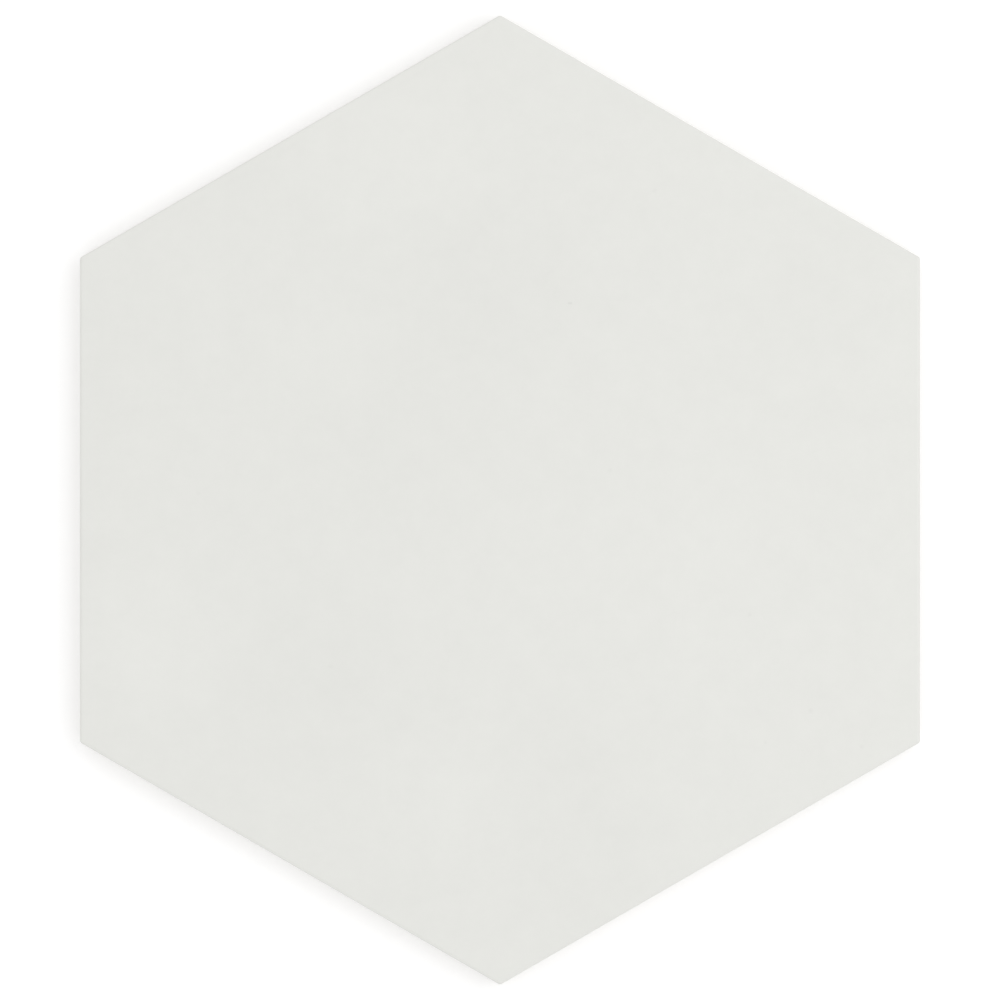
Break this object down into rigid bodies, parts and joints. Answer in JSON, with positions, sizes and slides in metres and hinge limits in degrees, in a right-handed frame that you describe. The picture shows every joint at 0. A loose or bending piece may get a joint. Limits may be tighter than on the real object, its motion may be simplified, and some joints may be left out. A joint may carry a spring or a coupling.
{
  "type": "hexagon floor tile",
  "caption": "Regular hexagonal floor tile of off-white matte glazed porcelain, with softly pressed edges, a leaning flank and a honeycomb key relief on its back.",
  "frame": {"origin": "centre of the tile's outline, on the bedding plane that the ribs of its back share", "axes": "+Z out of the worn face, +X out of the middle of one side, +Y through a corner"},
  "size_m": [0.22, 0.2538, 0.009],
  "materials": {
    "glazed_porcelain": "matte"
  },
  "bodies": {
    "root": {"hexagon_tile": "glazed_porcelain"}
  },
  "joints": []
}
